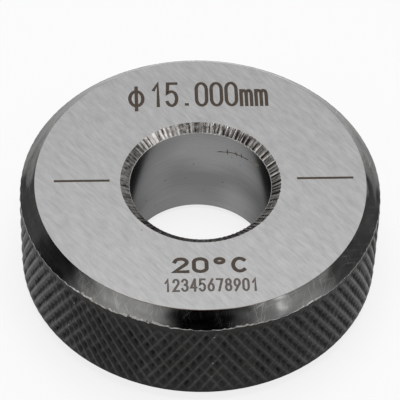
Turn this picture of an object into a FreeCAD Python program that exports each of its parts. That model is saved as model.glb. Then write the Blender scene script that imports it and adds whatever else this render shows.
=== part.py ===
import FreeCAD, Part
import math
import os

import Sketcher
from FreeCAD import Placement, Rotation, Vector

# Setting ring gauge: one piece of hardened tool steel, a short thick ring lapped flat on both faces.
# Its bore is the master size, with a chamfer at each end. The rim is diamond knurled for the fingers and
# chamfered at both edges. The frame stands on the lower face, with +Z up along the bore's axis.
# Lengths are in millimetres and angles in degrees.

# Each driving size: name, value, what it sets
SIZES = (
    ("bore_diameter", 15.0, "gauging bore, the size that the ring sets"),
    ("bore_chamfer_width", 1.0, "chamfer at each end of the bore, along the radius"),
    ("bore_chamfer_height", 0.65, "the same chamfer, along the axis"),
    ("ring_thickness", 13.0, "between the two lapped faces"),
    ("knurl_diameter", 38.35, "across the crests of the knurl"),
    ("rim_chamfer_width", 1.625, "chamfer at each edge of the rim, along the radius"),
    ("rim_chamfer_height", 1.5, "the same chamfer, along the axis"),
    ("knurl_pitch", 1.065, "from crest to crest, square to the crests"),
    ("knurl_angle", 30.0, "between the crests and the axis, the same for both hands"),
    ("knurl_depth", 0.33, "from the crests to the bottom of a pit"),
    ("knurl_turn", -90.34, "direction of the first pit round the axis, from +X"),
    ("knurl_lift", 8.17, "height of the first pit above the lower face"),
    ("stock_allowance", 0.3, "how far the turned section stands outside the crests"),
)

# Points of the turned section, in order round it: its radius and height as expressions of the sheet
BORE_RADIUS = "sizes.bore_diameter / 2"
MOUTH_RADIUS = "sizes.bore_diameter / 2 + sizes.bore_chamfer_width"
FACE_RADIUS = "sizes.knurl_diameter / 2 - sizes.rim_chamfer_width"
STOCK_RADIUS = "sizes.knurl_diameter / 2 + sizes.stock_allowance"
RIM_RISE = (
    "sizes.rim_chamfer_height * (sizes.rim_chamfer_width + sizes.stock_allowance)"
    " / sizes.rim_chamfer_width"
)
SECTION = (
    ("bore_low", BORE_RADIUS, "sizes.bore_chamfer_height"),
    ("mouth_low", MOUTH_RADIUS, None),
    ("face_low", FACE_RADIUS, None),
    ("rim_low", STOCK_RADIUS, RIM_RISE),
    ("rim_high", STOCK_RADIUS, "sizes.ring_thickness - " + RIM_RISE),
    ("face_high", FACE_RADIUS, "sizes.ring_thickness"),
    ("mouth_high", MOUTH_RADIUS, "sizes.ring_thickness"),
    ("bore_high", BORE_RADIUS, "sizes.ring_thickness - sizes.bore_chamfer_height"),
)


def make_sheet(doc):
    """The sheet of driving sizes: name, value and meaning in one row each."""
    sheet = doc.addObject("Spreadsheet::Sheet", "sizes")
    for row, (name, value, meaning) in enumerate(SIZES, start=1):
        sheet.set("A%d" % row, name)
        sheet.set("B%d" % row, str(value))
        sheet.set("C%d" % row, meaning)
        sheet.setAlias("B%d" % row, name)
    doc.recompute()
    return sheet


def origin_plane(body, role):
    """One of the body's own origin planes."""
    return next(item for item in body.Origin.OriginFeatures if item.Role == role)


def start_point(sheet, radius, height):
    """A first place for a point of the section, before its expressions take over."""
    values = {"sizes." + name: str(getattr(sheet, name)) for name, _, _ in SIZES}
    place = []
    for formula in (radius, height or "0"):
        for name, value in values.items():
            formula = formula.replace(name, value)
        place.append(float(FreeCAD.Units.parseQuantity(formula)))
    return Vector(place[0], place[1], 0)


def make_turned_blank(doc, sheet):
    """The turned ring: its section spun round the axis, with the rim left proud for the knurl."""
    body = doc.addObject("PartDesign::Body", "turned_blank")
    body.Label = "turned_blank"
    sketch = body.newObject("Sketcher::SketchObject", "ring_section")
    sketch.AttachmentSupport = (origin_plane(body, "XZ_Plane"), [""])
    sketch.MapMode = "FlatFace"

    corners = [start_point(sheet, radius, height) for _, radius, height in SECTION]
    for index, corner in enumerate(corners):
        sketch.addGeometry(Part.LineSegment(corner, corners[(index + 1) % len(corners)]), False)
    for index in range(len(corners)):
        following = (index + 1) % len(corners)
        sketch.addConstraint(Sketcher.Constraint("Coincident", index, 2, following, 1))

    # Every corner is held by its radius and its height, measured from the sketch's origin
    for index, (name, radius, height) in enumerate(SECTION):
        across = Sketcher.Constraint("DistanceX", -1, 1, index, 1, corners[index].x)
        number = sketch.addConstraint(across)
        sketch.renameConstraint(number, name + "_radius")
        sketch.setExpression("Constraints." + name + "_radius", radius)
        if height is None:
            sketch.addConstraint(Sketcher.Constraint("PointOnObject", index, 1, -1))
            continue
        along = Sketcher.Constraint("DistanceY", -1, 1, index, 1, corners[index].y)
        number = sketch.addConstraint(along)
        sketch.renameConstraint(number, name + "_height")
        sketch.setExpression("Constraints." + name + "_height", height)

    spin = body.newObject("PartDesign::Revolution", "ring_turning")
    spin.Profile = sketch
    spin.ReferenceAxis = (sketch, ["V_Axis"])
    spin.Angle = 360
    doc.recompute()
    return body


class Knurl:
    """Diamond knurl with sunk pits: two hands of crests that cross, and a four-sided pit in each mesh.

    Its corners lie on rings half a lead apart and on columns half a pitch apart. They are by turns the
    bottom of a pit and a crossing of two crests.
    """

    def __init__(self, sheet):
        self.crest_radius = sheet.knurl_diameter / 2
        self.pit_radius = self.crest_radius - sheet.knurl_depth
        angle = math.radians(sheet.knurl_angle)
        around = math.pi * sheet.knurl_diameter
        self.count = round(around * math.cos(angle) / sheet.knurl_pitch)
        self.columns = 2 * self.count
        self.ring_rise = around / self.count / math.tan(angle) / 2
        self.turn = math.radians(sheet.knurl_turn)
        self.lift = sheet.knurl_lift
        self.first_ring = math.floor(-self.lift / self.ring_rise) - 1
        self.last_ring = math.ceil((sheet.ring_thickness - self.lift) / self.ring_rise) + 1

    def is_pit(self, column, ring):
        """Whether this corner is the bottom of a pit."""
        return (column + ring) % 2 == 0

    def corner(self, column, ring):
        """The corner's place."""
        radius = self.pit_radius if self.is_pit(column, ring) else self.crest_radius
        bearing = self.turn + math.pi * (column % self.columns) / self.count
        height = self.lift + self.ring_rise * ring
        return Vector(radius * math.cos(bearing), radius * math.sin(bearing), height)

    def mesh_facets(self, column, ring):
        """The two facets of one mesh of the grid, parted along its crest."""
        near = self.corner(column, ring)
        right = self.corner(column + 1, ring)
        far = self.corner(column + 1, ring + 1)
        left = self.corner(column, ring + 1)
        if self.is_pit(column, ring):
            return [facet(near, right, left), facet(right, far, left)]
        return [facet(near, right, far), facet(near, far, left)]

    def end_facet(self, ring):
        """The flat end of the bar at one ring of corners."""
        return facet(*[self.corner(column, ring) for column in range(self.columns)])

    def bar(self):
        """A solid bar with the knurl all over its side, longer than the ring is thick."""
        facets = [self.end_facet(self.first_ring), self.end_facet(self.last_ring)]
        for ring in range(self.first_ring, self.last_ring):
            for column in range(self.columns):
                facets.extend(self.mesh_facets(column, ring))
        shell = Part.makeShell(facets)
        shell.sewShape()
        solid = Part.makeSolid(shell)
        if solid.Volume < 0:
            solid.reverse()
        return solid


def facet(*corners):
    """A flat face through its corners."""
    return Part.Face(Part.makePolygon(list(corners) + [corners[0]]))


def make_knurled_bar(doc, sheet):
    """The bar that gives the rim its knurl."""
    bar = doc.addObject("Part::Feature", "knurled_bar")
    bar.Label = "knurled_bar"
    bar.Shape = Knurl(sheet).bar()
    return bar


def make_ring(doc, blank, bar):
    """The finished ring: what the turned blank and the knurled bar have in common."""
    ring = doc.addObject("Part::Common", "setting_ring")
    ring.Label = "setting_ring"
    ring.Base = blank
    ring.Tool = bar
    ring.Placement = Placement(Vector(0, 0, 0), Rotation(Vector(0, 0, 1), 0))
    doc.recompute()
    return ring


def check_document(doc, sub_parts):
    """Stop before anything is written if an object failed or a sub-part isn't a sound solid."""
    for item in doc.Objects:
        if "Invalid" in item.State or "Error" in item.State:
            raise RuntimeError("%s failed: %s" % (item.Name, item.State))
    for item in sub_parts:
        shape = item.Shape
        if shape.isNull() or not shape.isValid() or len(shape.Solids) != 1:
            raise RuntimeError("%s isn't one valid solid" % item.Label)


def write_parts(sub_parts):
    """One file for each sub-part, named by its label."""
    os.makedirs("parts", exist_ok=True)
    for item in sub_parts:
        item.Shape.exportStep("parts/%s.step" % item.Label)
        box = item.Shape.BoundBox
        print("%s: %.3f x %.3f x %.3f mm, %.1f mm3, %d faces" % (
            item.Label, box.XLength, box.YLength, box.ZLength, item.Shape.Volume, len(item.Shape.Faces)))


document = FreeCAD.newDocument("setting_ring_gauge")
sizes = make_sheet(document)
turned_blank = make_turned_blank(document, sizes)
knurled_bar = make_knurled_bar(document, sizes)
setting_ring = make_ring(document, turned_blank, knurled_bar)
check_document(document, [setting_ring])
write_parts([setting_ring])
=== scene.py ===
"""Setting ring gauge: a hardened steel ring with a lapped face, a honed bore and a knurled rim.

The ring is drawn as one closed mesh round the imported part, the marks on its upper face as thin
closed strokes. Sizes are in millimetres until a mesh is made, and Blender's own unit is the metre.
"""
import logging
import math
from dataclasses import dataclass, field, replace
from enum import Enum
from typing import Optional, Union

import bpy
import numpy as np
from mathutils import Matrix, Vector


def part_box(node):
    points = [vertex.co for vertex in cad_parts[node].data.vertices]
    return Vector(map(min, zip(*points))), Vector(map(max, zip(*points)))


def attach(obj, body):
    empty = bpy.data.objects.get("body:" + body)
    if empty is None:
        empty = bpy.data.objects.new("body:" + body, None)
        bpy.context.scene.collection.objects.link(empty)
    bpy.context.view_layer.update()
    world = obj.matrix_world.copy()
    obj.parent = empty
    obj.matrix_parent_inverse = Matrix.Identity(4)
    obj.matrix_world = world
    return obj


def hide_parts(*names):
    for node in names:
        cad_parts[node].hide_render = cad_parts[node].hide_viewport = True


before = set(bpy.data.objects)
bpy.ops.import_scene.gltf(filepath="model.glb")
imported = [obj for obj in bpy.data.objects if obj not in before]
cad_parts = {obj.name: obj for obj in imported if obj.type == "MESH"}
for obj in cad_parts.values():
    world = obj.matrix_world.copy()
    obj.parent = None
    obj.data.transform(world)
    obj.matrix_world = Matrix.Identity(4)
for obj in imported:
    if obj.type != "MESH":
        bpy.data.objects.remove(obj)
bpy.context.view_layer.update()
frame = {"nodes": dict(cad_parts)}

LOG = logging.getLogger("setting_ring")
MM = 0.001
NODE = "setting_ring"
BODY = "root"
SEED = 15

Tree = bpy.types.NodeTree
Node = bpy.types.Node
Socket = bpy.types.NodeSocket
Material = bpy.types.Material
Length = Union[float, np.ndarray]
Value = Union[float, tuple, Socket]
Points = list[tuple[float, float]]


def linear(hex_colour: str) -> tuple[float, float, float, float]:
    """Turns an sRGB hex colour into the linear colour that a socket takes.

    Args:
        hex_colour: Six hex digits, such as "BEBEBC".

    Returns:
        Red, green, blue and an alpha of 1, linear.
    """
    channels = [int(hex_colour[i:i + 2], 16) / 255 for i in (0, 2, 4)]
    red, green, blue = (c / 12.92 if c <= 0.04045 else ((c + 0.055) / 1.055) ** 2.4 for c in channels)
    return (red, green, blue, 1.0)


def add_node(tree: Tree, kind: str, settings: Optional[dict] = None, inputs: Optional[dict] = None) -> Node:
    """Adds one node with its settings, its input values and its links.

    Args:
        tree: The node tree that gets the node.
        kind: The node's type name without the word ShaderNode.
        settings: The node's own properties, by name.
        inputs: A value or another node's output socket for each input, by name or index.

    Returns:
        The new node.
    """
    node = tree.nodes.new("ShaderNode" + kind)
    for name, value in (settings or {}).items():
        setattr(node, name, value)
    for name, value in (inputs or {}).items():
        if isinstance(value, Socket):
            tree.links.new(value, node.inputs[name])
        else:
            node.inputs[name].default_value = value
    return node


def add_object(name: str, data: bpy.types.ID) -> bpy.types.Object:
    """Adds an object to the scene.

    Args:
        name: The object's name.
        data: Its mesh, lamp or camera.

    Returns:
        The new object.
    """
    item = bpy.data.objects.new(name, data)
    bpy.context.scene.collection.objects.link(item)
    return item


def from_axis(tree: Tree) -> tuple[Socket, Socket, Socket]:
    """Adds the coordinates that a pattern round the ring's axis starts from.

    Args:
        tree: The material's node tree.

    Returns:
        The place on the part, its vector from the axis, and that vector's length.
    """
    place = add_node(tree, "TexCoord").outputs["Object"]
    flat = add_node(tree, "VectorMath", {"operation": "MULTIPLY"}, {0: place, 1: (1, 1, 0)}).outputs[0]
    reach = add_node(tree, "VectorMath", {"operation": "LENGTH"}, {0: flat}).outputs["Value"]
    return place, flat, reach


class Zone(Enum):
    """The ring's surfaces, each with a finish of its own, in the order of the mesh's materials."""

    FACE = 0
    FACE_EDGE = 1
    RIM_CHAMFER = 2
    WORN_EDGE = 3
    KNURL = 4
    BORE_CHAMFER = 5
    BORE = 6
    BORE_EDGE = 7


class Lay(Enum):
    """The way that a tool's marks run on a surface."""

    STRAIGHT = "straight"
    ROUND = "round"
    ACROSS = "across"


@dataclass(frozen=True)
class Marks:
    """Tool marks: a streaky grey pattern with a real length and width.

    Attributes:
        lay: The way that the marks run.
        length: Length of one streak in mm.
        width: Width of one streak in mm.
        relief: Height in mm between the noise's black and its white, as bump.
        angle: Direction of straight marks in degrees from +X.
        radius: Radius in mm at which marks round the axis have their length.
        detail: How many finer layers the noise has.
    """

    lay: Lay
    length: float
    width: float
    relief: float
    angle: float = 0.0
    radius: float = 8.0
    detail: float = 3.0

    def vector(self, tree: Tree) -> Socket:
        """Adds the coordinates that stretch a noise into these marks.

        Args:
            tree: The material's node tree.

        Returns:
            The vector in which one streak is about one unit long and one wide.
        """
        if self.lay is Lay.STRAIGHT:
            place = add_node(tree, "TexCoord").outputs["Object"]
            size = (self.length * MM, self.width * MM, self.length * MM)
            turn = (0, 0, math.radians(self.angle))
            return add_node(tree, "Mapping", {"vector_type": "TEXTURE"},
                            {"Vector": place, "Rotation": turn, "Scale": size}).outputs[0]
        place, flat, reach = from_axis(tree)
        height = add_node(tree, "SeparateXYZ", inputs={0: place}).outputs["Z"]
        slope = add_node(tree, "Math", {"operation": "SUBTRACT"}, {0: height, 1: reach}).outputs[0]
        round_size = self.length if self.lay is Lay.ROUND else self.width
        slope_size = self.width if self.lay is Lay.ROUND else self.length
        heading = add_node(tree, "VectorMath", {"operation": "NORMALIZE"}, {0: flat}).outputs[0]
        turn = add_node(tree, "VectorMath", {"operation": "SCALE"},
                        {0: heading, "Scale": self.radius / round_size}).outputs[0]
        climb = add_node(tree, "Math", {"operation": "DIVIDE"}, {0: slope, 1: slope_size * MM}).outputs[0]
        rise = add_node(tree, "CombineXYZ", inputs={"Z": climb}).outputs[0]
        return add_node(tree, "VectorMath", {"operation": "ADD"}, {0: turn, 1: rise}).outputs[0]

    def grey(self, tree: Tree) -> Socket:
        """Adds the noise of these marks.

        Args:
            tree: The material's node tree.

        Returns:
            A grey value about 0.5.
        """
        shape = {"Vector": self.vector(tree), "Scale": 1.0, "Detail": self.detail, "Roughness": 0.6}
        return add_node(tree, "TexNoise", inputs=shape).outputs["Fac"]


def ramp(tree: Tree, grey: Socket, low: float, high: float, start: float = 0.0, end: float = 1.0) -> Socket:
    """Adds a straight ramp, held level at both ends.

    Args:
        tree: The node tree.
        grey: The value that runs along the ramp.
        low: The value at which the ramp starts.
        high: The value at which it ends.
        start: What comes out at the start.
        end: What comes out at the end.

    Returns:
        The ramp's output.
    """
    ends = {"From Min": low, "From Max": high, "To Min": start, "To Max": end}
    return add_node(tree, "MapRange", inputs={"Value": grey, **ends}).outputs[0]


@dataclass(frozen=True)
class Stain:
    """Small marks of another colour that lie on a surface."""

    def mask(self, tree: Tree) -> Socket:
        """Adds the mask of the stain.

        Args:
            tree: The material's node tree.

        Returns:
            1 on the stain and 0 elsewhere.
        """
        raise NotImplementedError


@dataclass(frozen=True)
class Specks(Stain):
    """Small pits and stains, scattered one by one.

    Attributes:
        spacing: Distance in mm between the places where a speck may lie.
        radius: Radius of a speck in mm.
        share: Share of the places that have one.
    """

    spacing: float
    radius: float
    share: float

    def mask(self, tree: Tree) -> Socket:
        """Adds the mask: round dots at some of a grid's scattered points."""
        place = add_node(tree, "TexCoord").outputs["Object"]
        cell = add_node(tree, "TexVoronoi", inputs={"Vector": place, "Scale": 1 / (self.spacing * MM)})
        edge = self.radius / self.spacing
        dot = ramp(tree, cell.outputs["Distance"], edge, 0.5 * edge)
        pick = add_node(tree, "SeparateXYZ", inputs={0: cell.outputs["Color"]}).outputs[0]
        chosen = add_node(tree, "Math", {"operation": "LESS_THAN"}, {0: pick, 1: self.share}).outputs[0]
        return add_node(tree, "Math", {"operation": "MULTIPLY"}, {0: dot, 1: chosen}).outputs[0]


@dataclass(frozen=True)
class FluteDirt(Stain):
    """Cutting oil and dirt that stay in the deepest flutes of the bore's upper chamfer.

    Attributes:
        radius: Radius in mm of the chamfer's lower edge.
        height: Height in mm of the chamfer's lower edge.
        slope: The chamfer's width over its height.
        clean: Depth in mm of a flute that is wiped clean.
        filled: Depth in mm of a flute that is quite dark.
    """

    radius: float
    height: float
    slope: float
    clean: float = 0.025
    filled: float = 0.07

    def mask(self, tree: Tree) -> Socket:
        """Adds the mask: how far a point lies outside the chamfer's plain cone."""
        place, _, reach = from_axis(tree)
        level = add_node(tree, "SeparateXYZ", inputs={0: place}).outputs["Z"]
        foot = (self.radius - self.height * self.slope) * MM
        cone = add_node(tree, "Math", {"operation": "MULTIPLY_ADD"}, {0: level, 1: self.slope, 2: foot})
        depth = add_node(tree, "Math", {"operation": "SUBTRACT"}, {0: reach, 1: cone.outputs[0]}).outputs[0]
        return ramp(tree, depth, self.clean * MM, self.filled * MM)


@dataclass(frozen=True)
class Scuffs(Stain):
    """Hairline scratches that cross a polished surface where it was handled.

    Attributes:
        length: Length of one scratch in mm.
        width: Width of one scratch in mm.
        patch: Size in mm of a handled patch.
        strength: Share of a scratch that shows, because it is narrower than its own noise.
        angles: Directions of the scratches in degrees from +X, one family each.
    """

    length: float
    width: float
    patch: float
    strength: float
    angles: tuple[float, ...]

    def mask(self, tree: Tree) -> Socket:
        """Adds the mask: thin streaks in each direction, where the steel was handled."""
        total: Value = 0.0
        for angle in self.angles:
            streaks = Marks(Lay.STRAIGHT, self.length, self.width, 0.0, angle, detail=1.0).grey(tree)
            line = ramp(tree, streaks, 0.6, 0.7, 0.0, self.strength)
            total = add_node(tree, "Math", {"operation": "MAXIMUM"}, {0: line, 1: total}).outputs[0]
        place = add_node(tree, "TexCoord").outputs["Object"]
        cloud = add_node(tree, "TexNoise", inputs={"Vector": place, "Scale": 1 / (self.patch * MM)})
        handled = ramp(tree, cloud.outputs["Fac"], 0.4, 0.7)
        return add_node(tree, "Math", {"operation": "MULTIPLY"}, {0: total, 1: handled}).outputs[0]


@dataclass(frozen=True)
class Finish:
    """The look of one surface, made once as a material.

    Attributes:
        name: The material's name.
    """

    name: str

    def wire(self, tree: Tree, shader: Node) -> None:
        """Wires the finish into a fresh material.

        Args:
            tree: The material's node tree.
            shader: The material's Principled shader.
        """
        raise NotImplementedError

    def dress(self) -> Material:
        """Makes the finish.

        Returns:
            The new material.
        """
        material = bpy.data.materials.new(self.name)
        material.use_nodes = True
        tree = material.node_tree
        self.wire(tree, tree.nodes["Principled BSDF"])
        return material


@dataclass(frozen=True)
class SteelFinish(Finish):
    """Bare hardened steel as one tool left it.

    Attributes:
        dark: Darkest colour of the marks, sRGB hex.
        light: Lightest colour of the marks, sRGB hex.
        smooth: Roughness of the smoothest marks.
        coarse: Roughness of the coarsest marks.
        marks: The tool's marks, finest first.
        glance: Grey, from 0 to 1, of the light that the steel mirrors at a glancing angle.
        film: Share of the surface that a thin matt oxide film covers.
        stain: Colour of what lies on the steel, sRGB hex.
        specks: Specks, dirt or scratches that lie on the steel, or None.
        grit: Roughness of what lies there, or None where it is as smooth as the steel.
    """

    dark: str
    light: str
    smooth: float
    coarse: float
    marks: tuple[Marks, ...]
    glance: float = 1.0
    film: float = 0.0
    stain: str = "4A4038"
    specks: Optional[Stain] = None
    grit: Optional[float] = None

    def wire(self, tree: Tree, shader: Node) -> None:
        """Wires the tool's marks, the stains on them and their relief."""
        grey: Value = 0.0
        height: Value = 0.0
        for marks in self.marks:
            noise = marks.grey(tree)
            grey = add_node(tree, "Math", {"operation": "MULTIPLY_ADD"},
                            {0: noise, 1: 1 / len(self.marks), 2: grey}).outputs[0]
            height = add_node(tree, "Math", {"operation": "MULTIPLY_ADD"},
                              {0: noise, 1: marks.relief, 2: height}).outputs[0]
        # The Mix node has one A and one B for each kind of data, so its colours go in by index.
        light_share = ramp(tree, grey, 0.36, 0.64)
        shown = add_node(tree, "Mix", {"data_type": "RGBA"},
                         {0: light_share, 6: linear(self.dark), 7: linear(self.light)}).outputs[2]
        rough = ramp(tree, grey, 0.3, 0.7, self.smooth, self.coarse)
        if self.specks:
            stained = self.specks.mask(tree)
            shown = add_node(tree, "Mix", {"data_type": "RGBA"},
                             {0: stained, 6: shown, 7: linear(self.stain)}).outputs[2]
            if self.grit is not None:
                rough = add_node(tree, "Mix", inputs={0: stained, 2: rough, 3: self.grit}).outputs[0]
        tree.links.new(shown, shader.inputs["Base Color"])
        tree.links.new(rough, shader.inputs["Roughness"])
        shader.inputs["Metallic"].default_value = 1.0 - self.film
        shader.inputs["Specular Tint"].default_value = (self.glance, self.glance, self.glance, 1.0)
        bump = add_node(tree, "Bump", inputs={"Height": height, "Distance": MM, "Strength": 1.0})
        tree.links.new(bump.outputs[0], shader.inputs["Normal"])


@dataclass(frozen=True)
class KnurledSteel(Finish):
    """Black heat-treatment scale on the knurl, rubbed off along its crests, with dirt and painted shade
    darkest in its pits.

    Attributes:
        pit_dirt_and_shade_colour: Colour of the dirt and painted shade at the bottom of a pit, sRGB hex.
        scale_colour: Colour of the scale, sRGB hex.
        crest_colour: Colour of the rubbed steel, sRGB hex.
        crest_radius: Radius in mm of the untouched crests.
        wear_depth: Depth in mm down to which the scale is rubbed off.
        dirt_and_shade_depth: Depth in mm below which the dirt and painted shade lie.
        nick_colour: Colour of a fresh nick in a crest, sRGB hex.
        nicks: The nicks.
        patch: Size in mm of the patches in which the scale is worn more or less.
        dirt_and_shade_fade: Depth in mm over which the dirt and painted shade close over.
        grain: Height in mm of the scale's grain, as bump.
    """

    pit_dirt_and_shade_colour: str
    scale_colour: str
    crest_colour: str
    crest_radius: float
    wear_depth: float
    dirt_and_shade_depth: float
    nick_colour: str = "9A9896"
    nicks: Specks = Specks(0.9, 0.13, 0.22)
    patch: float = 0.6
    dirt_and_shade_fade: float = 0.11
    grain: float = 0.015

    def wire(self, tree: Tree, shader: Node) -> None:
        """Wires the scale, the dirt and painted shade in the pits, the rubbed crests and their nicks."""
        place, _, reach = from_axis(tree)
        patch_shape = {"Vector": place, "Scale": 1 / (self.patch * MM), "Detail": 3.0}
        patch_grey = add_node(tree, "TexNoise", inputs=patch_shape).outputs["Fac"]
        most = 0.4 * self.wear_depth * MM
        shift = ramp(tree, patch_grey, 0.3, 0.7, -most, most)
        worn_reach = add_node(tree, "Math", {"operation": "ADD"}, {0: reach, 1: shift}).outputs[0]
        top = self.crest_radius * MM
        wear = ramp(tree, worn_reach, top - self.wear_depth * MM, top)
        # Painted shade, with dirt: the colour darkens towards the bottom of each pit.
        floor = top - self.dirt_and_shade_depth * MM
        darkening = ramp(tree, reach, floor, floor - self.dirt_and_shade_fade * MM)
        scale = add_node(tree, "Mix", {"data_type": "RGBA"},
                         {0: darkening, 6: linear(self.scale_colour), 7: linear(self.pit_dirt_and_shade_colour)})
        colour = add_node(tree, "Mix", {"data_type": "RGBA"},
                          {0: wear, 6: scale.outputs[2], 7: linear(self.crest_colour)})
        nick = add_node(tree, "Math", {"operation": "MULTIPLY"}, {0: self.nicks.mask(tree), 1: wear})
        shown = add_node(tree, "Mix", {"data_type": "RGBA"},
                         {0: nick.outputs[0], 6: colour.outputs[2], 7: linear(self.nick_colour)})
        tree.links.new(shown.outputs[2], shader.inputs["Base Color"])
        tree.links.new(ramp(tree, wear, 0.0, 1.0, 0.45, 0.38), shader.inputs["Roughness"])
        # The rough scale stays dark where the rim turns away; only the rubbed crests glint there.
        tree.links.new(ramp(tree, wear, 0.0, 1.0, 0.85, 1.0), shader.inputs["Specular Tint"])
        shader.inputs["Metallic"].default_value = 1.0
        relief = {"Height": patch_grey, "Distance": self.grain * MM, "Strength": 1.0}
        bump = add_node(tree, "Bump", inputs=relief)
        tree.links.new(bump.outputs[0], shader.inputs["Normal"])


@dataclass(frozen=True)
class LaserMark(Finish):
    """Steel browned and slightly roughened by a laser: matt, with a faint grain.

    Attributes:
        dark: Colour where the burn is deepest, sRGB hex.
        light: Colour where it is thin, sRGB hex.
        grain: Size in mm of the grain.
    """

    dark: str
    light: str
    grain: float = 0.12

    def wire(self, tree: Tree, shader: Node) -> None:
        """Wires the burnt colour and its grain."""
        place = add_node(tree, "TexCoord").outputs["Object"]
        shape = {"Vector": place, "Scale": 1 / (self.grain * MM), "Detail": 2.0}
        grey = add_node(tree, "TexNoise", inputs=shape).outputs["Fac"]
        colour = add_node(tree, "Mix", {"data_type": "RGBA"},
                          {0: ramp(tree, grey, 0.35, 0.65), 6: linear(self.dark), 7: linear(self.light)})
        tree.links.new(colour.outputs[2], shader.inputs["Base Color"])
        tree.links.new(ramp(tree, grey, 0.3, 0.7, 0.55, 0.75), shader.inputs["Roughness"])
        shader.inputs["Specular IOR Level"].default_value = 0.25


@dataclass(frozen=True)
class SeamlessPaper(Finish):
    """Matt white paper with a painted pool of light: near the part it glows white, fading out further away,
    and it still keeps the part's shadow.

    Attributes:
        glow: Share by which the paper round the part is seen as pure white, whatever its shadow.
        near: Distance in mm from the axis up to which the paper has its full share of white.
        far: Distance in mm from the axis where that share has faded out.
    """

    glow: float
    near: float
    far: float

    def wire(self, tree: Tree, shader: Node) -> None:
        """Wires the white that is seen and the paper that is lit."""
        shader.inputs["Base Color"].default_value = linear("FAFAFA")
        shader.inputs["Roughness"].default_value = 0.9
        shader.inputs["Specular IOR Level"].default_value = 0.2
        # The eye and the polished steel see the paper as white; the rest of it keeps the part's shadow.
        path = add_node(tree, "LightPath")
        seen: Value = path.outputs["Is Camera Ray"]
        for kind in ("Is Glossy Ray", "Is Transmission Ray"):
            seen = add_node(tree, "Math", {"operation": "MAXIMUM"},
                            {0: seen, 1: path.outputs[kind]}).outputs[0]
        _, _, reach = from_axis(tree)
        # Painted pool of light: the paper's white glow fades out from near to far.
        share = ramp(tree, reach, self.near * MM, self.far * MM, self.glow, 0.0)
        share = add_node(tree, "Math", {"operation": "MULTIPLY"}, {0: seen, 1: share}).outputs[0]
        white = add_node(tree, "Emission", inputs={"Strength": 1.0}).outputs[0]
        mixed = add_node(tree, "MixShader", inputs={0: share, 1: shader.outputs[0], 2: white}).outputs[0]
        tree.links.new(mixed, tree.nodes["Material Output"].inputs["Surface"])


@dataclass
class MeshRows:
    """Closed loops of points round the ring's axis, joined one to the next into a closed skin.

    Attributes:
        angles: Angle in radians of each column.
        points: One array of points in mm for each loop.
        zones: The surface between each loop and the one before it.
        creases: For each loop, the lattice row of a knurl band, or None.
    """

    angles: np.ndarray
    points: list[np.ndarray] = field(default_factory=list)
    zones: list[Zone] = field(default_factory=list)
    creases: list[Optional[int]] = field(default_factory=list)

    def add(self, radius: Length, height: Length, zone: Zone, crease: Optional[int] = None) -> None:
        """Adds a loop, and the surface that reaches it from the loop before.

        Args:
            radius: Radius in mm, one number or one for each column.
            height: Height in mm, one number or one for each column.
            zone: The surface between the loop before and this one.
            crease: Lattice row of the loop before, where a knurl's diagonals matter.
        """
        reach = np.broadcast_to(radius, self.angles.shape)
        level = np.broadcast_to(height, self.angles.shape)
        self.points.append(np.stack([reach * np.cos(self.angles), reach * np.sin(self.angles), level], -1))
        self.zones.append(zone)
        self.creases.append(crease)

    def mesh(self, name: str, steps: int) -> bpy.types.Mesh:
        """Joins the loops, the last to the first, into a closed mesh.

        Args:
            name: The mesh's name.
            steps: Columns and rows in one pitch of the knurl's lattice.

        Returns:
            The mesh, in metres, with a material number for each zone.
        """
        columns = len(self.angles)
        faces = []
        zones = []
        for row in range(len(self.points)):
            below = row * columns
            above = (row - 1 if row else len(self.points) - 1) * columns
            for i in range(columns):
                j = (i + 1) % columns
                corners = (above + i, below + i, below + j, above + j)
                crease = self.creases[row]
                if crease is None:
                    faces.append(corners)
                    zones.append(self.zones[row].value)
                    continue
                rising = abs((i + crease) % steps - steps / 2)
                falling = abs((i + 1 - crease) % steps - steps / 2)
                a, b, c, d = corners
                halves = ((a, b, c), (a, c, d)) if rising <= falling else ((a, b, d), (b, c, d))
                faces.extend(halves)
                zones.extend([self.zones[row].value] * 2)
        mesh = bpy.data.meshes.new(name)
        mesh.from_pydata((np.concatenate(self.points) * MM).tolist(), [], faces)
        mesh.polygons.foreach_set("material_index", zones)
        mesh.shade_smooth()
        self.sharpen(mesh)
        mesh.update()
        return mesh

    def sharpen(self, mesh: bpy.types.Mesh) -> None:
        """Marks the loops between two zones as sharp edges.

        Args:
            mesh: The joined mesh.
        """
        columns = len(self.angles)
        following = self.zones[1:] + self.zones[:1]
        border = np.array([here is not after for here, after in zip(self.zones, following)])
        ends = np.empty(2 * len(mesh.edges), dtype=int)
        mesh.edges.foreach_get("vertices", ends)
        loops = ends.reshape(-1, 2) // columns
        sharp = (loops[:, 0] == loops[:, 1]) & border[loops[:, 0]]
        layer = mesh.attributes.new("sharp_edge", "BOOLEAN", "EDGE")
        layer.data.foreach_set("value", sharp)


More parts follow.
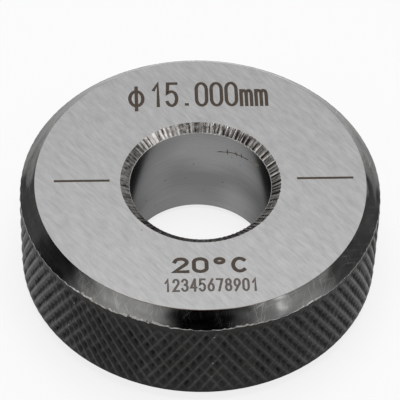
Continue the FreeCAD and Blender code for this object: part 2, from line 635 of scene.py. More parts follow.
@dataclass
class Knurl:
    """The diamond knurl: pyramid pits pressed into the rim, with sharp crests between them.

    Attributes:
        crest_radius: Radius in mm of the crests.
        low: Height in mm at which the lower chamfer meets the rim.
        high: Height in mm at which the upper chamfer meets the rim.
        count: Number of pits round the rim.
        spiral: Angle in degrees between the crests and the axis.
        depth: Depth in mm of a pit.
        blunt: How blunt the crests are, as a share of the depth.
        turn: Angle in degrees of one pit's middle.
        lift: Height in mm of one pit's middle.
        steps: Columns and rows of the mesh in one pitch.
        spread: How much the depth of the pits differs, as a share.
        shallowest: Depth of the shallowest pit, as a share of the depth.
        deepest: Depth of the deepest pit, as a share of the depth.
        rows: Number of rows of pits whose depths are drawn.
        runout: Height in mm over which the pits grow from a chamfer on.
        start: Share of their depth that the pits have at a chamfer.
        drop: How far in mm the crests fall off at a chamfer.
        wear: Mean depth in mm of the waves worn over the crests.
        rounds: Number of beads round the rim in each of those waves.
        wander: How much the lean of the crests wanders round the rim.
        leans: Angles in degrees, and how much lower the left-hand (+) or right-hand (-) crests are there.
    """

    crest_radius: float
    low: float
    high: float
    count: int = 98
    spiral: float = 30.0
    depth: float = 0.29
    blunt: float = 0.1
    turn: float = -90.34
    lift: float = 8.17
    steps: int = 10
    spread: float = 0.16
    shallowest: float = 0.6
    deepest: float = 1.3
    rows: int = 32
    runout: float = 0.9
    start: float = 0.15
    drop: float = 0.05
    wear: float = 0.008
    rounds: tuple[int, ...] = (9, 14, 23, 31, 47, 60)
    wander: float = 0.12
    leans: tuple[tuple[float, float], ...] = (
        (-180.0, -0.6), (-145.0, -0.45), (-123.0, 0.3), (-110.0, 0.45), (-103.0, 0.0),
        (-95.0, -0.3), (-86.0, -0.2), (-79.0, 0.35), (-50.0, 0.3), (-20.0, 0.35),
        (60.0, -0.3), (130.0, 0.3), (180.0, -0.6),
    )

    def __post_init__(self) -> None:
        """Draws how deep the pits are and where the worn waves start."""
        self.pitch = 2 * math.pi * self.crest_radius / self.count / math.tan(math.radians(self.spiral))
        draw = np.random.default_rng(SEED)
        scatter = 1 + self.spread * draw.standard_normal((2 * self.count, self.rows))
        self.depths = self.depth * np.clip(scatter, self.shallowest, self.deepest)
        self.starts = draw.uniform(0, 2 * math.pi, len(self.rounds))

    @property
    def columns(self) -> np.ndarray:
        """The angles in radians of the mesh's columns."""
        number = self.count * self.steps
        return math.radians(self.turn) + 2 * math.pi * np.arange(number) / number

    @property
    def rise(self) -> float:
        """The distance in mm between two rows of the mesh."""
        return self.pitch / self.steps

    def depth_near(self, one: np.ndarray, two: np.ndarray) -> np.ndarray:
        """Gives the depth that the pits have about a place, blended from pit to pit.

        Args:
            one: Place counted in left-hand rows of pits.
            two: Place counted in right-hand rows of pits.

        Returns:
            The depth in mm.
        """
        total = np.zeros_like(one)
        for i in (0, 1):
            for j in (0, 1):
                a = np.floor(one) + i
                b = np.floor(two) + j
                share = (1 - np.abs(one - a)) * (1 - np.abs(two - b))
                column = (a + b).astype(int) % self.depths.shape[0]
                level = (a - b).astype(int) % self.depths.shape[1]
                total += share * self.depths[column, level]
        return total

    def radius(self, angles: np.ndarray, heights: Length) -> np.ndarray:
        """Gives the knurled surface.

        Args:
            angles: Angles in radians.
            heights: Heights in mm.

        Returns:
            The radius in mm at each angle and height.
        """
        round_way = (angles - math.radians(self.turn)) * self.count / (2 * math.pi)
        axial_way = (heights - self.lift) / self.pitch
        one = round_way + axial_way
        two = round_way - axial_way
        turns = (np.degrees(angles) + 180) % 360 - 180
        lean = np.interp(turns, *zip(*self.leans)) + self.wander * np.sin(7 * angles + 1.3 * heights)
        fall_one = 1 - 2 * np.abs(one - np.round(one)) + np.maximum(-lean, 0)
        fall_two = 1 - 2 * np.abs(two - np.round(two)) + np.maximum(lean, 0)
        fall = np.minimum(fall_one, fall_two)
        fall = np.sqrt(fall ** 2 + self.blunt ** 2) - self.blunt
        wobble = sum(np.sin(n * angles + 1.7 * n % 5 * heights + start)
                     for n, start in zip(self.rounds, self.starts)) / len(self.rounds)
        inside = np.clip(np.minimum(self.high - heights, heights - self.low) / self.runout, 0, 1)
        grown = inside * inside * (3 - 2 * inside)
        depth = self.depth_near(one, two) * (self.start + (1 - self.start) * grown)
        return self.crest_radius - depth * fall - self.wear * (1 + wobble) - self.drop * (1 - grown)


@dataclass
class Burr:
    """The rubbed burr between rim chamfer and knurl: a thin uneven lip, wider where it was knocked.

    Attributes:
        thin: Width in mm of the lip where nothing touched it.
        wide: Width in mm that knocks add.
        knocks: Angle and half width in degrees, and strength, of each knocked stretch.
        rounds: Number of beads round the rim in each of the waves that make the lip uneven.
        uneven: How much those waves change the width, as a share.
        peak: Height at which the waves are cut off.
    """

    thin: float = 0.03
    wide: float = 0.34
    knocks: tuple[tuple[float, float, float], ...] = (
        (-126.0, 8.0, 0.7), (-108.0, 12.0, 0.9), (-74.0, 8.0, 0.5), (-52.0, 5.0, 0.5))
    rounds: tuple[int, ...] = (41, 98, 147, 205)
    uneven: float = 0.5
    peak: float = 0.7

    def width(self, angles: np.ndarray) -> np.ndarray:
        """Gives the lip's width.

        Args:
            angles: Angles in radians.

        Returns:
            The width in mm at each angle.
        """
        starts = np.random.default_rng(SEED + 2).uniform(0, 2 * math.pi, len(self.rounds))
        waves = sum(np.sin(n * angles + start) for n, start in zip(self.rounds, starts)) / len(self.rounds)
        turns = np.degrees(angles)
        knocked = np.zeros_like(angles)
        for middle, half_width, strength in self.knocks:
            away = (turns - middle + 180) % 360 - 180
            knocked = np.maximum(knocked, strength * np.exp(-(away / half_width) ** 2))
        return (self.thin + self.wide * knocked) * (1 + self.uneven * np.clip(waves, -self.peak, self.peak))


@dataclass
class Flutes:
    """Chatter marks left by the countersink on the bore's chamfer: uneven shallow flutes.

    Attributes:
        depth: Depth in mm of the deepest flutes.
        rounds: Number of flutes in each of the waves that add up to the chatter.
        strong: Angle in degrees at which the chatter is strongest.
        least: Share of the chatter that is left on the opposite side.
        outward: Share of the chatter that widens the chamfer at its mouth and in its middle.
        downward: Share of the chatter that lowers the chamfer in its middle.
    """

    depth: float = 0.06
    rounds: tuple[int, ...] = (62, 97, 100, 103)
    strong: float = 8.0
    least: float = 0.2
    outward: float = 0.6
    downward: float = 0.8

    def __post_init__(self) -> None:
        """Draws where each wave starts."""
        self.starts = np.random.default_rng(SEED + 1).uniform(0, 2 * math.pi, len(self.rounds))

    def depth_at(self, angles: np.ndarray) -> np.ndarray:
        """Gives the chatter.

        Args:
            angles: Angles in radians.

        Returns:
            How far the chamfer lies outside its plain cone, in mm.
        """
        waves = sum(np.sin(n * angles + start) for n, start in zip(self.rounds, self.starts))
        near = 0.5 + 0.5 * np.cos(angles - math.radians(self.strong))
        return self.depth * (self.least + (1 - self.least) * near ** 3) * waves / math.sqrt(len(self.rounds))


@dataclass
class GaugeRing:
    """The ring itself, one piece of hardened steel.

    Attributes:
        outer_radius: Radius in mm of the rim.
        thickness: Height in mm from face to face.
        bore_radius: Radius in mm of the bore.
        bore_chamfer_width: Width in mm of the bore's chamfers, seen from above.
        bore_chamfer_height: Height in mm of the bore's chamfers.
        rim_chamfer_width: Width in mm of the rim's chamfers, seen from above.
        rim_chamfer_height: Height in mm of the rim's chamfers.
        lapping: How far in mm the lapped upper face lies below the marks on it.
        edge_stain: Width in mm of the dark line along the face's outer edge.
        bore_edge: Width in mm of the rubbed edge between bore and chamfer, drawn with a painted highlight.
        first_row: Distance in mm from a rim chamfer's border to the knurl's first loop of points.
        margin: Least distance in mm from that border to the knurl's even loops.
        overhang: Height of the burr's crest over the chamfer's border, against the lip's own height.
        knurl: The knurled rim.
        burr: The lip along the knurl's ends.
        flutes: The chatter on the bore's upper chamfer.
    """

    outer_radius: float
    thickness: float
    bore_radius: float = 7.5
    bore_chamfer_width: float = 1.0
    bore_chamfer_height: float = 0.65
    rim_chamfer_width: float = 1.625
    rim_chamfer_height: float = 1.5
    lapping: float = 0.004
    edge_stain: float = 0.1
    bore_edge: float = 0.05
    first_row: float = 0.03
    margin: float = 0.2
    overhang: float = 1.1
    knurl: Knurl = field(init=False)
    burr: Burr = field(default_factory=Burr)
    flutes: Flutes = field(default_factory=Flutes)

    def __post_init__(self) -> None:
        """Makes the knurl for the rim's radius."""
        height = self.rim_chamfer_height
        self.knurl = Knurl(self.outer_radius, height, self.thickness - height)

    @property
    def face(self) -> float:
        """The height in mm of the lapped upper face."""
        return self.thickness - self.lapping

    @property
    def face_radius(self) -> float:
        """The radius in mm of both faces."""
        return self.outer_radius - self.rim_chamfer_width

    @property
    def mouth(self) -> float:
        """The radius in mm of the bore's chamfers at the faces."""
        return self.bore_radius + self.bore_chamfer_width

    def cone(self, inset: Length) -> Length:
        """Gives the rim chamfer.

        Args:
            inset: Distance in mm from the face.

        Returns:
            The chamfer's radius in mm.
        """
        slope = self.rim_chamfer_width / self.rim_chamfer_height
        return self.face_radius + inset * slope

    def lip_height(self, width: Length) -> Length:
        """Gives the height of a lip that lies on the rim chamfer.

        Args:
            width: The lip's width in mm, seen from above.

        Returns:
            Its height in mm.
        """
        return width * self.rim_chamfer_height / self.rim_chamfer_width

    def border(self, top: bool) -> np.ndarray:
        """Finds where the knurl runs out on a rim chamfer.

        Args:
            top: True for the upper chamfer.

        Returns:
            The border's distance in mm from its face, for each column.
        """
        angles = self.knurl.columns
        shallow = np.zeros_like(angles)
        deep = np.full_like(angles, self.rim_chamfer_height + 0.1)
        # Halving the span thirty times closes in on the border.
        for _ in range(30):
            middle = (shallow + deep) / 2
            heights = self.thickness - middle if top else middle
            on_cone = self.cone(middle) < self.knurl.radius(angles, heights)
            shallow = np.where(on_cone, middle, shallow)
            deep = np.where(on_cone, deep, middle)
        return deep

    def build(self) -> bpy.types.Object:
        """Builds the ring as one closed mesh: over the top, down the rim, under the bottom and up the bore.

        Returns:
            The ring's object, without materials.
        """
        rows = MeshRows(self.knurl.columns)
        chatter = self.flutes.depth_at(rows.angles)
        upper = self.border(True)
        lower = self.border(False)
        self.add_top(rows, upper, chatter)
        self.add_rim(rows, upper, lower)
        self.add_bottom(rows, lower)
        self.add_bore(rows, chatter)
        return add_object("gauge_ring", rows.mesh("gauge_ring", self.knurl.steps))

    def add_top(self, rows: MeshRows, upper: np.ndarray, chatter: np.ndarray) -> None:
        """Adds the upper face with its stained edge, the upper rim chamfer and the burr.

        Args:
            rows: The ring's loops so far.
            upper: Distance in mm from the upper face to the knurl's border, for each column.
            chatter: How far in mm the flutes lie outside the bore's chamfer, for each column.
        """
        rows.add(self.mouth + self.flutes.outward * chatter, self.face, Zone.BORE_CHAMFER)
        # The stain is widest at the front and hardly there at the back.
        stain = self.edge_stain * (0.15 + 0.85 * np.clip(-np.sin(rows.angles), 0, 1) ** 6)
        rows.add(self.face_radius - stain, self.face, Zone.FACE)
        rows.add(self.face_radius, self.face, Zone.FACE_EDGE)
        lip = self.lip_height(self.burr.width(rows.angles))
        for share in (0.5, 1.0):
            inset = share * (upper - lip)
            rows.add(self.cone(inset), self.thickness - inset, Zone.RIM_CHAMFER)
        rows.add(self.cone(upper), self.thickness - upper + self.overhang * lip, Zone.WORN_EDGE)

    def add_rim(self, rows: MeshRows, upper: np.ndarray, lower: np.ndarray) -> None:
        """Adds the knurl: even loops on its lattice, and a few that reach from them to the chamfers.

        Args:
            rows: The ring's loops so far.
            upper: Distance in mm from the upper face to the knurl's border, for each column.
            lower: The same from the lower face.
        """
        knurl = self.knurl
        start = self.thickness - upper - self.first_row
        rows.add(knurl.radius(rows.angles, start), start, Zone.KNURL)
        top_row = math.floor((self.thickness - upper.max() - self.margin - knurl.lift) / knurl.rise)
        low_row = math.ceil((lower.max() + self.margin - knurl.lift) / knurl.rise)
        top_level = knurl.lift + top_row * knurl.rise
        for share in (0.5, 1.0):
            height = start + share * (top_level - start)
            rows.add(knurl.radius(rows.angles, height), height, Zone.KNURL)
        for row in range(top_row - 1, low_row - 1, -1):
            height = knurl.lift + row * knurl.rise
            rows.add(knurl.radius(rows.angles, height), height, Zone.KNURL, row + 1)
        end = lower + self.first_row
        for height in ((knurl.lift + low_row * knurl.rise + end) / 2, end):
            rows.add(knurl.radius(rows.angles, height), height, Zone.KNURL)

    def add_bottom(self, rows: MeshRows, lower: np.ndarray) -> None:
        """Adds the lower rim chamfer with a thin even lip, the lower face and the lower bore chamfer.

        Args:
            rows: The ring's loops so far.
            lower: Distance in mm from the lower face to the knurl's border, for each column.
        """
        lip = self.lip_height(self.burr.thin)
        rows.add(self.cone(lower), lower - self.overhang * lip, Zone.KNURL)
        inset = lower - lip
        rows.add(self.cone(inset), inset, Zone.WORN_EDGE)
        rows.add(self.face_radius, 0.0, Zone.RIM_CHAMFER)
        rows.add(self.mouth, 0.0, Zone.FACE)
        rows.add(self.bore_radius, self.bore_chamfer_height, Zone.BORE_CHAMFER)

    def add_bore(self, rows: MeshRows, chatter: np.ndarray) -> None:
        """Adds the bore, its rubbed upper edge and the middle of the fluted chamfer.

        Args:
            rows: The ring's loops so far.
            chatter: How far in mm the flutes lie outside the bore's chamfer, for each column.
        """
        bottom = self.thickness - self.bore_chamfer_height
        for share in (0.25, 0.5, 0.75):
            height = self.bore_chamfer_height + share * (bottom - self.bore_chamfer_height)
            rows.add(self.bore_radius, height, Zone.BORE)
        # The rubbed edge is rounded: how far out and up each loop lies, in widths of the edge.
        steps = ((0.0, -0.6, Zone.BORE), (0.5, -0.1, Zone.BORE_EDGE), (1.3, 0.6, Zone.BORE_EDGE))
        for out, up, zone in steps:
            radius = self.bore_radius + out * self.bore_edge
            rows.add(radius, bottom + up * self.bore_edge - chatter, zone)
        radius = (self.bore_radius + self.mouth) / 2 + self.flutes.outward * chatter
        rows.add(radius, (bottom + self.face) / 2 - self.flutes.downward * chatter, Zone.BORE_CHAMFER)

    def dress(self, ring: bpy.types.Object) -> None:
        """Gives each zone of the ring its finish.

        Args:
            ring: The ring's object.
        """
        darkening = FluteDirt(self.bore_radius, self.thickness - self.bore_chamfer_height,
                         self.bore_chamfer_width / self.bore_chamfer_height)
        finishes = {
            Zone.FACE: LAPPED_FACE,
            Zone.FACE_EDGE: STAINED_EDGE,
            Zone.RIM_CHAMFER: TURNED_CHAMFER,
            Zone.WORN_EDGE: WORN_EDGE,
            # The knurl's darkest colour is dirt and painted shade at the bottom of its pits.
            Zone.KNURL: KnurledSteel("heat_blackened_knurled_steel", "161616", "2D2D2C", "3F3E3D",
                                     self.outer_radius, wear_depth=0.06, dirt_and_shade_depth=0.15),
            Zone.BORE_CHAMFER: replace(FLUTED_CHAMFER_WITH_PAINTED_HIGHLIGHTS, specks=darkening),
            Zone.BORE: HONED_BORE_WITH_PAINTED_SHADE,
            Zone.BORE_EDGE: WORN_BORE_EDGE_WITH_PAINTED_HIGHLIGHT,
        }
        for zone in Zone:
            ring.data.materials.append(finishes[zone].dress())


# Lapped tool steel: a soft pale grey sheen with short crossing scratches that run one way.
LAPPED_FACE = SteelFinish(
    "lapped_hardened_steel", "A1A1A1", "B6B6B6", 0.46, 0.56,
    (Marks(Lay.STRAIGHT, 1.3, 0.24, 0.001, -48.0), Marks(Lay.STRAIGHT, 2.6, 0.7, 0.001, -50.0)),
    stain="5A524B", specks=Specks(2.0, 0.09, 0.3))
# The lapping paste that stays in the corner of the face dries to a thin brown line.
STAINED_EDGE = SteelFinish(
    "stained_edge_of_lapped_steel", "43302A", "8A807A", 0.3, 0.5,
    (Marks(Lay.ROUND, 3.0, 0.4, 0.001, radius=17.5),))
# A turned chamfer mirrors the lamps in bands; slow waves, fine rings and hairline scratches break them up.
TURNED_CHAMFER = SteelFinish(
    "turned_hardened_steel", "828281", "8E8E8D", 0.09, 0.17,
    (Marks(Lay.ROUND, 9.0, 0.12, 0.001, radius=18.0),
     Marks(Lay.ROUND, 2.2, 1.4, 0.06, radius=18.0, detail=0.0)),
    glance=0.7, stain="D8D6D2", specks=Scuffs(3.0, 0.12, 2.5, 0.6, (35.0, 80.0, 118.0)), grit=0.34)
# The edge where the knurl runs out is rubbed bright by handling.
WORN_EDGE = SteelFinish(
    "rubbed_hardened_steel", "858381", "B8B6B3", 0.4, 0.5,
    (Marks(Lay.ROUND, 0.5, 0.3, 0.003, radius=18.8),))
# Measuring probes rub the bore's upper edge, and its pale, half matt colour paints a thin highlight line
# along it.
WORN_BORE_EDGE_WITH_PAINTED_HIGHLIGHT = SteelFinish(
    "probe_rubbed_steel_with_painted_highlight", "BDBBB8", "DAD8D5", 0.2, 0.35,
    (Marks(Lay.ROUND, 0.8, 0.3, 0.004, radius=7.5),), film=0.5)
# Chatter leaves the countersunk chamfer striped across, with fine tool lines and oil dark in the flutes. The
# stripes' near-white colour is painted highlight; their dark brown is oil dirt.
FLUTED_CHAMFER_WITH_PAINTED_HIGHLIGHTS = SteelFinish(
    "countersunk_steel_with_painted_highlights", "463B35", "E4E2DF", 0.1, 0.2,
    (Marks(Lay.ACROSS, 1.2, 0.22, 0.01, radius=8.0, detail=2.0),
     Marks(Lay.ROUND, 0.5, 0.14, 0.003, radius=8.0)),
    film=0.1, stain="33271F")
# A honed bore is a satin grey with slow pale patches: its fine scratches go round and scatter the light. Its
# colours and its glancing grey are drawn darker than bare steel, as painted shade inside the bore.
HONED_BORE_WITH_PAINTED_SHADE = SteelFinish(
    "honed_steel_with_painted_shade", "747475", "8F8F90", 0.18, 0.28,
    (Marks(Lay.ROUND, 4.0, 0.1, 0.0003, radius=7.5),
     Marks(Lay.ROUND, 5.0, 3.0, 0.0003, radius=7.5, detail=0.0),
     Marks(Lay.ROUND, 6.4, 4.2, 0.0003, radius=7.5, detail=0.0)),
    glance=0.35, stain="3A332D", specks=Specks(1.0, 0.1, 0.5))
# A laser browns the steel without cutting it, so the marks look flat and matt.
SIZE_BURN = LaserMark("laser_browned_steel", "3D332B", "50463D")
# The fine digits take less of the beam and stay paler.
NUMBER_BURN = LaserMark("thin_laser_browned_steel", "524A45", "69615C")
# Rust in the scratch is a warm brown hairline on the grey bore.
RUSTED_SCRATCH = LaserMark("rusted_scratch_in_steel", "56371F", "7B5A3E")
# The scratch's fresh end is bare metal; its pale colour is a painted highlight where it catches the light.
FRESH_SCRATCH_WITH_PAINTED_GLINT = LaserMark("fresh_scratch_with_painted_glint", "C2AE88", "DCCFB4")
# Seamless paper is matt and white, so that the ring stands on nothing but its own faint shadow; round the
# ring it glows as a painted pool of white light.
PAPER = SeamlessPaper("white_seamless_paper", 0.8, 46.0, 88.0)

# A scratch in the bore and the nicks across it, as degrees round the bore and mm above the lower face
SCRATCH = (
    ((76.3, 9.7), (71.0, 9.88), (67.5, 10.08), (63.0, 10.2), (58.0, 10.26), (53.0, 10.36), (48.0, 10.42)),
    ((68.4, 10.4), (67.8, 9.75)),
    ((60.6, 10.55), (59.6, 10.1)),
    ((55.2, 10.65), (54.6, 10.2)),
)
SCRATCH_END = (((46.0, 10.44), (41.0, 10.6), (34.8, 10.98)),)

# The least cosine that a stroke's corner is mitred with, and the least sum of its two directions
LEAST_MITRE = 0.45
LEAST_BEND = 0.2


def arc(middle: tuple[float, float], reach: tuple[float, float], start: float, end: float) -> Points:
    """Gives points along part of an ellipse.

    Args:
        middle: Its middle.
        reach: Its half width and half height.
        start: Angle in degrees at which it starts.
        end: Angle in degrees at which it ends.

    Returns:
        The points, about one every 15 degrees.
    """
    count = max(2, round(abs(end - start) / 15))
    turns = [math.radians(start + (end - start) * i / count) for i in range(count + 1)]
    return [(middle[0] + reach[0] * math.cos(t), middle[1] + reach[1] * math.sin(t)) for t in turns]


# Each glyph is a list of strokes in a box one wide and one high.
GLYPHS: dict[str, list[Points]] = {
    "0": [arc((0.5, 0.72), (0.5, 0.28), 0, 180) + arc((0.5, 0.28), (0.5, 0.28), 180, 360) + [(1.0, 0.72)]],
    "1": [[(0.22, 0.72), (0.62, 1.0), (0.62, 0.0)]],
    "2": [arc((0.5, 0.73), (0.48, 0.27), 170, -35) + [(0.0, 0.0), (1.0, 0.0)]],
    "3": [arc((0.48, 0.76), (0.46, 0.24), 160, -80), arc((0.48, 0.27), (0.52, 0.27), 85, -160)],
    "4": [[(0.76, 0.0), (0.76, 1.0)], [(0.76, 1.0), (0.0, 0.28), (1.0, 0.28)]],
    "5": [[(0.95, 1.0), (0.14, 1.0), (0.08, 0.56)] + arc((0.48, 0.32), (0.5, 0.32), 120, -150)],
    "6": [[(0.8, 1.0), (0.09, 0.44)], arc((0.5, 0.31), (0.48, 0.31), 0, 360)],
    "7": [[(0.0, 1.0), (1.0, 1.0), (0.36, 0.0)]],
    "8": [arc((0.5, 0.75), (0.42, 0.25), 0, 360), arc((0.5, 0.27), (0.5, 0.27), 0, 360)],
    "9": [[(0.2, 0.0), (0.91, 0.56)], arc((0.5, 0.69), (0.48, 0.31), 0, 360)],
    "m": [[(0.0, 0.0), (0.0, 0.66)], arc((0.25, 0.48), (0.25, 0.18), 180, 0) + [(0.5, 0.0)],
          arc((0.75, 0.48), (0.25, 0.18), 180, 0) + [(1.0, 0.0)]],
    "C": [arc((0.55, 0.5), (0.52, 0.5), 50, 310)],
    ".": [[(0.46, 0.05), (0.52, 0.05)]],
    "°": [arc((0.5, 0.82), (0.32, 0.17), 0, 360)],
    "φ": [arc((-0.05, 0.33), (0.64, 0.33), 0, 360), [(-0.05, -0.18), (-0.05, 0.83)]],
}


@dataclass(kw_only=True)
class Mark:
    """A piece of thin closed strokes that lies in the upper face.

    Attributes:
        name: The piece's name.
        stroke: Width of a stroke in mm.
        top: Height in mm of the strokes' surface above the lower face.
        depth: How deep in mm the strokes reach into the steel.
        turn: Angle in degrees by which the mark is turned on the ring.
        stagger: Step in mm between the three heights that strokes take in turn, so that none coincide.
    """

    name: str
    stroke: float
    top: float
    depth: float = 0.02
    turn: float = 3.44
    stagger: float = 0.0004

    def strokes(self) -> list[Points]:
        """Lays out the strokes.

        Returns:
            The strokes' middle lines in mm, in the mark's own axes.
        """
        raise NotImplementedError

    def ribbon(self, line: Points, lift: float) -> tuple[list, list]:
        """Widens a stroke into a flat closed bar.

        Args:
            line: The points along its middle.
            lift: How far in mm its surface lies below the top.

        Returns:
            Corner points in mm and faces of the bar.
        """
        closed = math.dist(line[0], line[-1]) < 1e-6
        middle = line[:-1] if closed else line
        count = len(middle)
        left = []
        right = []
        for i, point in enumerate(middle):
            before = Vector(middle[i - 1] if closed or i else point)
            after = Vector(middle[(i + 1) % count] if closed or i < count - 1 else point)
            here = Vector(point)
            back = (here - before if (here - before).length > 0 else after - here).normalized()
            ahead = (after - here).normalized() if (after - here).length > 0 else back
            bend = (back + ahead).normalized() if (back + ahead).length > LEAST_BEND else back
            side = Vector((-bend.y, bend.x))
            reach = self.stroke / 2 / max(LEAST_MITRE, side.dot(Vector((-back.y, back.x))))
            if not closed and i == 0:
                here = here - ahead * self.stroke / 2
            if not closed and i == count - 1:
                here = here + back * self.stroke / 2
            left.append(here + side * reach)
            right.append(here - side * reach)
        high = self.top - lift
        low = self.top - self.depth
        corners = []
        for a, b in zip(left, right):
            corners.extend([(a.x, a.y, high), (b.x, b.y, high), (b.x, b.y, low), (a.x, a.y, low)])
        faces = []
        spans = count if closed else count - 1
        for i in range(spans):
            p = 4 * i
            q = 4 * ((i + 1) % count)
            for k in range(4):
                n = (k + 1) % 4
                faces.append((p + k, p + n, q + n, q + k))
        if not closed:
            faces.append((3, 2, 1, 0))
            end = 4 * (count - 1)
            faces.append((end, end + 1, end + 2, end + 3))
        return corners, faces

    def place(self, corner: tuple[float, float, float]) -> Vector:
        """Gives a stroke's corner its place on the ring.

        Args:
            corner: Its place in the mark's own axes in mm, the last number its height above the lower face.

        Returns:
            Its place in the part's axes in mm.
        """
        return Matrix.Rotation(math.radians(self.turn), 3, "Z") @ Vector(corner)

    def build(self, burn: Material) -> bpy.types.Object:
        """Builds the strokes as one piece.

        Args:
            burn: The finish of the strokes.

        Returns:
            The piece's object.
        """
        corners = []
        faces = []
        for number, line in enumerate(self.strokes()):
            points, bars = self.ribbon(line, self.stagger * (number % 3))
            start = len(corners)
            corners.extend(points)
            faces.extend([tuple(start + c for c in bar) for bar in bars])
        mesh = bpy.data.meshes.new(self.name)
        mesh.from_pydata([self.place(c) * MM for c in corners], [], faces)
        mesh.materials.append(burn)
        mesh.update()
        return add_object(self.name, mesh)


@dataclass(kw_only=True)
class Inscription(Mark):
    """A line of laser-drawn characters.

    Attributes:
        text: The characters, all of them in GLYPHS.
        left: Left end of the baseline in mm, in the mark's own axes.
        base: Height of the baseline on the face in mm, in the mark's own axes.
        height: Height of a digit in mm.
        width: Width of a digit in mm.
        advance: Distance in mm from one digit to the next.
    """

    text: str
    left: float
    base: float
    height: float
    width: float
    advance: float

    def strokes(self) -> list[Points]:
        """Lays out the strokes of all characters."""
        laid = []
        for i, character in enumerate(self.text):
            start = self.left + i * self.advance
            for line in GLYPHS[character]:
                laid.append([(start + x * self.width, self.base + y * self.height) for x, y in line])
        return laid


@dataclass(kw_only=True)
class SettingLine(Mark):
    """A straight line that shows which way to measure the bore.

    Attributes:
        start: Its left end in mm, in the mark's own axes.
        end: Its right end in mm.
        base: Its height on the face in mm.
    """

    start: float
    end: float
    base: float

    def strokes(self) -> list[Points]:
        """Gives the one stroke of the line."""
        return [[(self.start, self.base), (self.end, self.base)]]


@dataclass(kw_only=True)
class BoreScratch(Mark):
    """A hairline scratch in the upper part of the bore. Its top is the bore's radius in mm.

    Attributes:
        lines: The strokes, as degrees round the bore and mm above the lower face.
        proud: How far in mm the scratch stands out of the bore's wall, so that it shows.
    """

    lines: tuple[tuple[tuple[float, float], ...], ...]
    proud: float = 0.004

    def strokes(self) -> list[Points]:
        """Gives the scratch's strokes, with the way round the bore in mm."""
        return [[(math.radians(turn) * self.top, height) for turn, height in line] for line in self.lines]

    def place(self, corner: tuple[float, float, float]) -> Vector:
        """Wraps a stroke's corner round the bore.

        Args:
            corner: The way round and up in mm, and a distance that shrinks as the stroke goes deeper.

        Returns:
            Its place in the part's axes in mm.
        """
        way, height, depth = corner
        turn = way / self.top
        reach = 2 * self.top - depth - self.proud
        return Vector((reach * math.cos(turn), reach * math.sin(turn), height))

    def build(self, burn: Material) -> bpy.types.Object:
        """Builds the scratch, and turns its faces outward again, because the bore's wall faces inward.

        Args:
            burn: The finish of the scratch.

        Returns:
            The piece's object.
        """
        piece = super().build(burn)
        piece.data.flip_normals()
        return piece


@dataclass(frozen=True)
class Panel:
    """A round patch of the room, bright or dark, with a soft edge.

    Attributes:
        azimuth: Angle in degrees of its middle from -Y toward +X.
        elevation: Angle in degrees of its middle above the floor.
        inner: Angle in degrees from its middle at which it starts to fade.
        outer: Angle in degrees from its middle at which it ends.
        level: Brightness that a bright panel adds, or the share that a dark one takes away.
    """

    azimuth: float
    elevation: float
    inner: float
    outer: float
    level: float

    def mask(self, tree: Tree, way: Socket) -> Socket:
        """Adds the panel's mask.

        Args:
            tree: The world's node tree.
            way: The direction looked in.

        Returns:
            1 inside the panel and 0 outside.
        """
        round_way = math.radians(self.azimuth)
        up_way = math.radians(self.elevation)
        level_share = math.cos(up_way)
        heading = (level_share * math.sin(round_way), -level_share * math.cos(round_way), math.sin(up_way))
        near = add_node(tree, "VectorMath", {"operation": "DOT_PRODUCT"},
                        {0: way, 1: heading}).outputs["Value"]
        away = add_node(tree, "Math", {"operation": "ARCCOSINE"}, {0: near}).outputs[0]
        ends = {"From Min": math.radians(self.outer), "From Max": math.radians(self.inner)}
        return add_node(tree, "MapRange", {"interpolation_type": "SMOOTHSTEP"},
                        {"Value": away, **ends}).outputs[0]


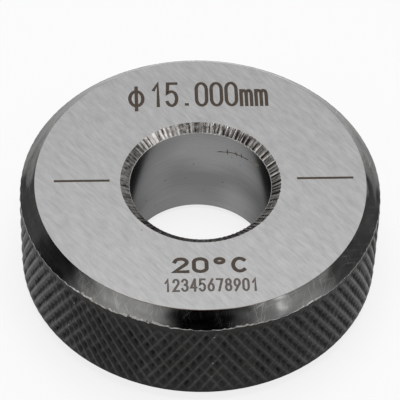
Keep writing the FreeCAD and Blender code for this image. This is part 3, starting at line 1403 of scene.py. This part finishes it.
@dataclass
class Studio:
    """A pale floor under a soft overhead lamp, in a dim room with bright and dark panels.

    Attributes:
        lamp_height: Height in mm of the overhead lamp.
        lamp_size: Diameter in mm of the overhead lamp.
        lamp_spread: Angle in degrees into which the lamp's grid lets its light out.
        lamp_power: Power of the lamp in watts.
        room_level: Brightness of the room between the panels, where white paper in full light is 1.
        floor_reach: Distance in mm from the axis to the floor's sides.
        bright: The bright panels.
        dark: The dark panels, the first of them where the viewer stands.
    """

    lamp_height: float = 230.0
    lamp_size: float = 140.0
    lamp_spread: float = 90.0
    lamp_power: float = 0.073
    room_level: float = 0.12
    floor_reach: float = 2500.0
    bright: tuple[Panel, ...] = (
        Panel(180.0, 40.0, 8.0, 48.0, 0.9),
        Panel(-46.0, 46.0, 6.0, 33.0, 0.8),
        Panel(66.0, 48.0, 6.0, 35.0, 0.7),
        Panel(-125.0, 42.0, 5.0, 44.0, 0.2),
        Panel(125.0, 42.0, 5.0, 44.0, 0.25),
        Panel(0.0, 10.0, 10.0, 55.0, 0.3),
        Panel(53.0, 38.0, 1.0, 5.0, 1.6),
        Panel(-82.0, 54.0, 3.0, 12.0, 0.45),
        Panel(82.0, 54.0, 3.0, 12.0, 0.6),
    )
    dark: tuple[Panel, ...] = (
        Panel(6.0, 44.0, 11.0, 26.0, 1.0),
        Panel(-93.0, 27.0, 8.0, 17.0, 0.85),
        Panel(100.0, 22.0, 8.0, 22.0, 0.35),
        Panel(-105.0, 38.0, 5.0, 15.0, 0.6),
        Panel(105.0, 38.0, 5.0, 15.0, 0.75),
    )

    def light(self) -> None:
        """Makes the room's light and the lamp."""
        world = bpy.data.worlds.new("soft_studio")
        bpy.context.scene.world = world
        world.use_nodes = True
        tree = world.node_tree
        way = add_node(tree, "TexCoord").outputs["Generated"]
        total: Value = self.room_level
        for panel in self.bright:
            total = add_node(tree, "Math", {"operation": "MULTIPLY_ADD"},
                             {0: panel.mask(tree, way), 1: panel.level, 2: total}).outputs[0]
        for panel in self.dark:
            open_share = ramp(tree, panel.mask(tree, way), 0.0, 1.0, 1.0, 1.0 - panel.level)
            total = add_node(tree, "Math", {"operation": "MULTIPLY"}, {0: total, 1: open_share}).outputs[0]
        sky = tree.nodes["Background"]
        sky.inputs["Color"].default_value = (1.0, 1.0, 1.0, 1.0)
        tree.links.new(total, sky.inputs["Strength"])

        lamp = bpy.data.lights.new("overhead_softbox", "AREA")
        lamp.shape = "DISK"
        lamp.size = self.lamp_size * MM
        lamp.spread = math.radians(self.lamp_spread)
        lamp.energy = self.lamp_power
        softbox = add_object("overhead_softbox", lamp)
        softbox.location = (0, 0, self.lamp_height * MM)
        softbox.visible_camera = False

    def floor(self) -> bpy.types.Object:
        """Makes the floor.

        Returns:
            The floor's object.
        """
        reach = self.floor_reach * MM
        corners = [(-reach, -reach, 0), (reach, -reach, 0), (reach, reach, 0), (-reach, reach, 0)]
        mesh = bpy.data.meshes.new("floor")
        mesh.from_pydata(corners, [], [(0, 1, 2, 3)])
        mesh.materials.append(PAPER.dress())
        return add_object("floor", mesh)


@dataclass
class Viewpoint:
    """The place that the ring is looked at from: a long lens, well above the rim.

    Attributes:
        setback: Distance in mm in front of the axis.
        height: Height in mm above the floor.
        dip: Angle in degrees by which the lens looks down.
        roll: Angle in degrees by which the frame is turned.
        focal: Focal length in pixels of the frame.
        frame: Width of the frame in pixels.
    """

    setback: float = 191.086
    height: float = 227.697
    dip: float = 48.728
    roll: float = 1.865
    focal: float = 2720.9
    frame: float = 400.0

    def place(self) -> None:
        """Makes the camera and gives it to the scene."""
        lens = bpy.data.cameras.new("viewpoint")
        lens.sensor_width = 36.0
        lens.lens = lens.sensor_width * self.focal / self.frame
        lens.clip_start = 0.01
        camera = add_object("viewpoint", lens)
        spot = Matrix.Translation((0, -self.setback * MM, self.height * MM))
        tilt = Matrix.Rotation(math.radians(90 - self.dip), 4, "X")
        roll = Matrix.Rotation(math.radians(self.roll), 4, "Z")
        camera.matrix_world = spot @ tilt @ roll
        bpy.context.scene.camera = camera


def ride_on_part(piece: bpy.types.Object) -> None:
    """Ties a piece to the part's one body, and logs its number of faces.

    Args:
        piece: The piece's object.
    """
    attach(piece, BODY)
    LOG.info("%s: %d faces", piece.name, len(piece.data.polygons))


def make_marks(thickness: float, bore_radius: float) -> list[tuple[Mark, Material]]:
    """Lays out the marks on the upper face and the scratch in the bore.

    Args:
        thickness: Height in mm of the ring.
        bore_radius: Radius in mm of the bore.

    Returns:
        Each mark with its finish.
    """
    size_burn = SIZE_BURN.dress()
    return [
        (Inscription(name="size_mark", text="φ15.000mm", left=-6.49, base=10.97, height=3.3, width=1.1,
                     advance=1.62, stroke=0.38, top=thickness), size_burn),
        (Inscription(name="temperature_mark", text="20°C", left=-3.1, base=-12.4, height=1.7, width=1.3,
                     advance=2.0, stroke=0.42, top=thickness), size_burn),
        (Inscription(name="number_mark", text="12345678901", left=-4.18, base=-14.95, height=1.5,
                     width=0.53, advance=0.895, stroke=0.25, top=thickness), NUMBER_BURN.dress()),
        (SettingLine(name="setting_line_left", start=-15.34, end=-9.76, base=0.24, stroke=0.3,
                     top=thickness), size_burn),
        (SettingLine(name="setting_line_right", start=10.36, end=16.05, base=0.25, stroke=0.3,
                     top=thickness), size_burn),
        (BoreScratch(name="bore_scratch", lines=SCRATCH, stroke=0.1, top=bore_radius),
         RUSTED_SCRATCH.dress()),
        (BoreScratch(name="bore_scratch_end", lines=SCRATCH_END, stroke=0.09, top=bore_radius),
         FRESH_SCRATCH_WITH_PAINTED_GLINT.dress()),
    ]


def main() -> None:
    """Makes the camera, the ring, its marks and the studio."""
    logging.basicConfig(level=logging.INFO, format="%(name)s: %(message)s")
    bpy.context.scene.view_settings.view_transform = "Standard"
    Viewpoint().place()

    low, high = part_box(NODE)
    outer_radius = min(high[0], high[1], -low[0], -low[1]) / MM
    thickness = high[2] / MM
    ring = GaugeRing(outer_radius, thickness)
    body = ring.build()
    ring.dress(body)
    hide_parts(NODE)
    ride_on_part(body)

    for mark, burn in make_marks(thickness, ring.bore_radius):
        ride_on_part(mark.build(burn))

    studio = Studio()
    studio.floor()
    studio.light()


if __name__ == "__main__":
    main()
